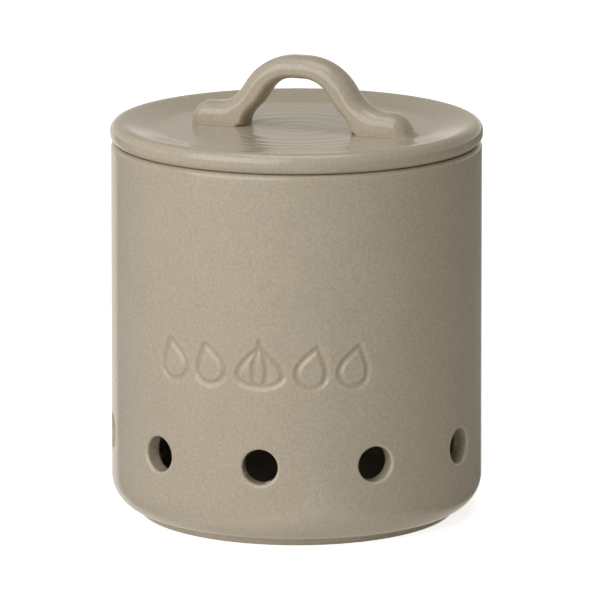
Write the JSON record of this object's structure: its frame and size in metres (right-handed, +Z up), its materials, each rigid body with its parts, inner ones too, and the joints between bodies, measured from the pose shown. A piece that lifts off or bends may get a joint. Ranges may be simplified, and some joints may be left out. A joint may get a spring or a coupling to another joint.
{
  "type": "garlic keeper",
  "caption": "Round glazed stoneware keeper with air holes low in its wall and a lift-off lid with a strap handle.",
  "frame": {"origin": "middle of the foot ring, on the surface that the jar stands on", "axes": "+Z up through the middle of the jar and the lid; -Y is the front, with an air hole in its middle; the handle runs along +X, turned ten degrees towards the front at its +X end"},
  "size_m": [0.12, 0.12, 0.1488],
  "materials": {
    "jar_glaze": "satin gloss",
    "lid_glaze": "satin gloss",
    "handle_glaze": "satin gloss"
  },
  "bodies": {
    "jar": {"jar": "jar_glaze"},
    "lid": {"lid": "lid_glaze", "lid_handle": "handle_glaze"}
  },
  "joints": [
    {"name": "lid_lift", "type": "slide", "parent": "jar", "child": "lid", "axis": [0, 0, 1], "range_m": [0, 0.03]}
  ]
}
